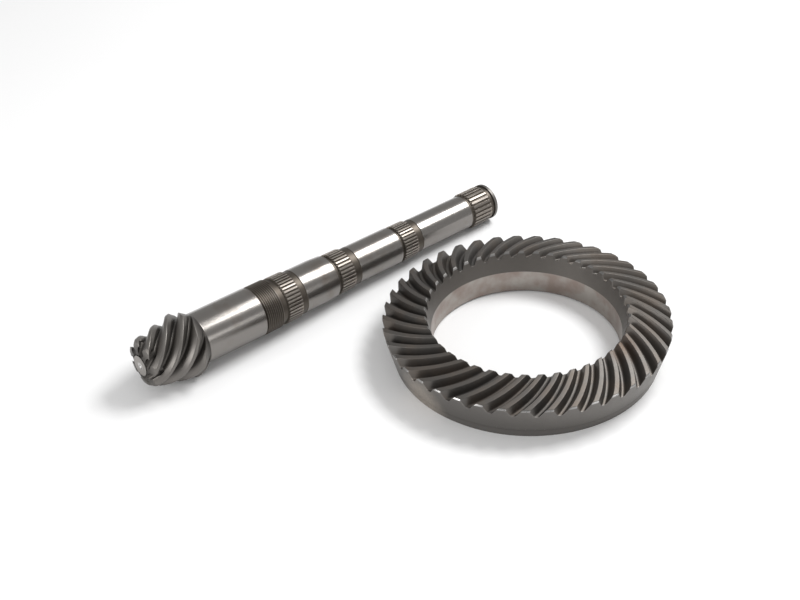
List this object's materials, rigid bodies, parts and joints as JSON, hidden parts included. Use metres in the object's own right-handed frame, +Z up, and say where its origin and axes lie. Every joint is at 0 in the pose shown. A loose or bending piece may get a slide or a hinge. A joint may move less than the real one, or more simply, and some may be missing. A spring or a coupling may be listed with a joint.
{
  "type": "ring and pinion gear set",
  "caption": "Hypoid ring gear with curved teeth and a tapped back face, with its matching pinion, solid with a long stepped, splined and threaded shaft, for a right-angle final drive.",
  "frame": {"origin": "centre of the ring gear's bolt circle, in the plane of its flat back face, which lies on the bench", "axes": "+Z is up, from the ring's back face to its teeth, along the ring's own axis. +X is right and +Y is away, as the set lies in the picture: the pinion shaft lies behind the ring at the left, its head towards the front and its tail rising to the right at about 40 degrees from +X towards +Y"},
  "size_m": [0.3515, 0.2654, 0.0452],
  "materials": {
    "ring_steel": "dark phosphated steel, satin, with a lighter turned bore and wall",
    "shaft_steel": "ground steel lands between darker satin teeth, splines and thread"
  },
  "bodies": {
    "root": {"ring_gear": "ring_steel", "pinion_shaft": "shaft_steel"}
  },
  "joints": []
}
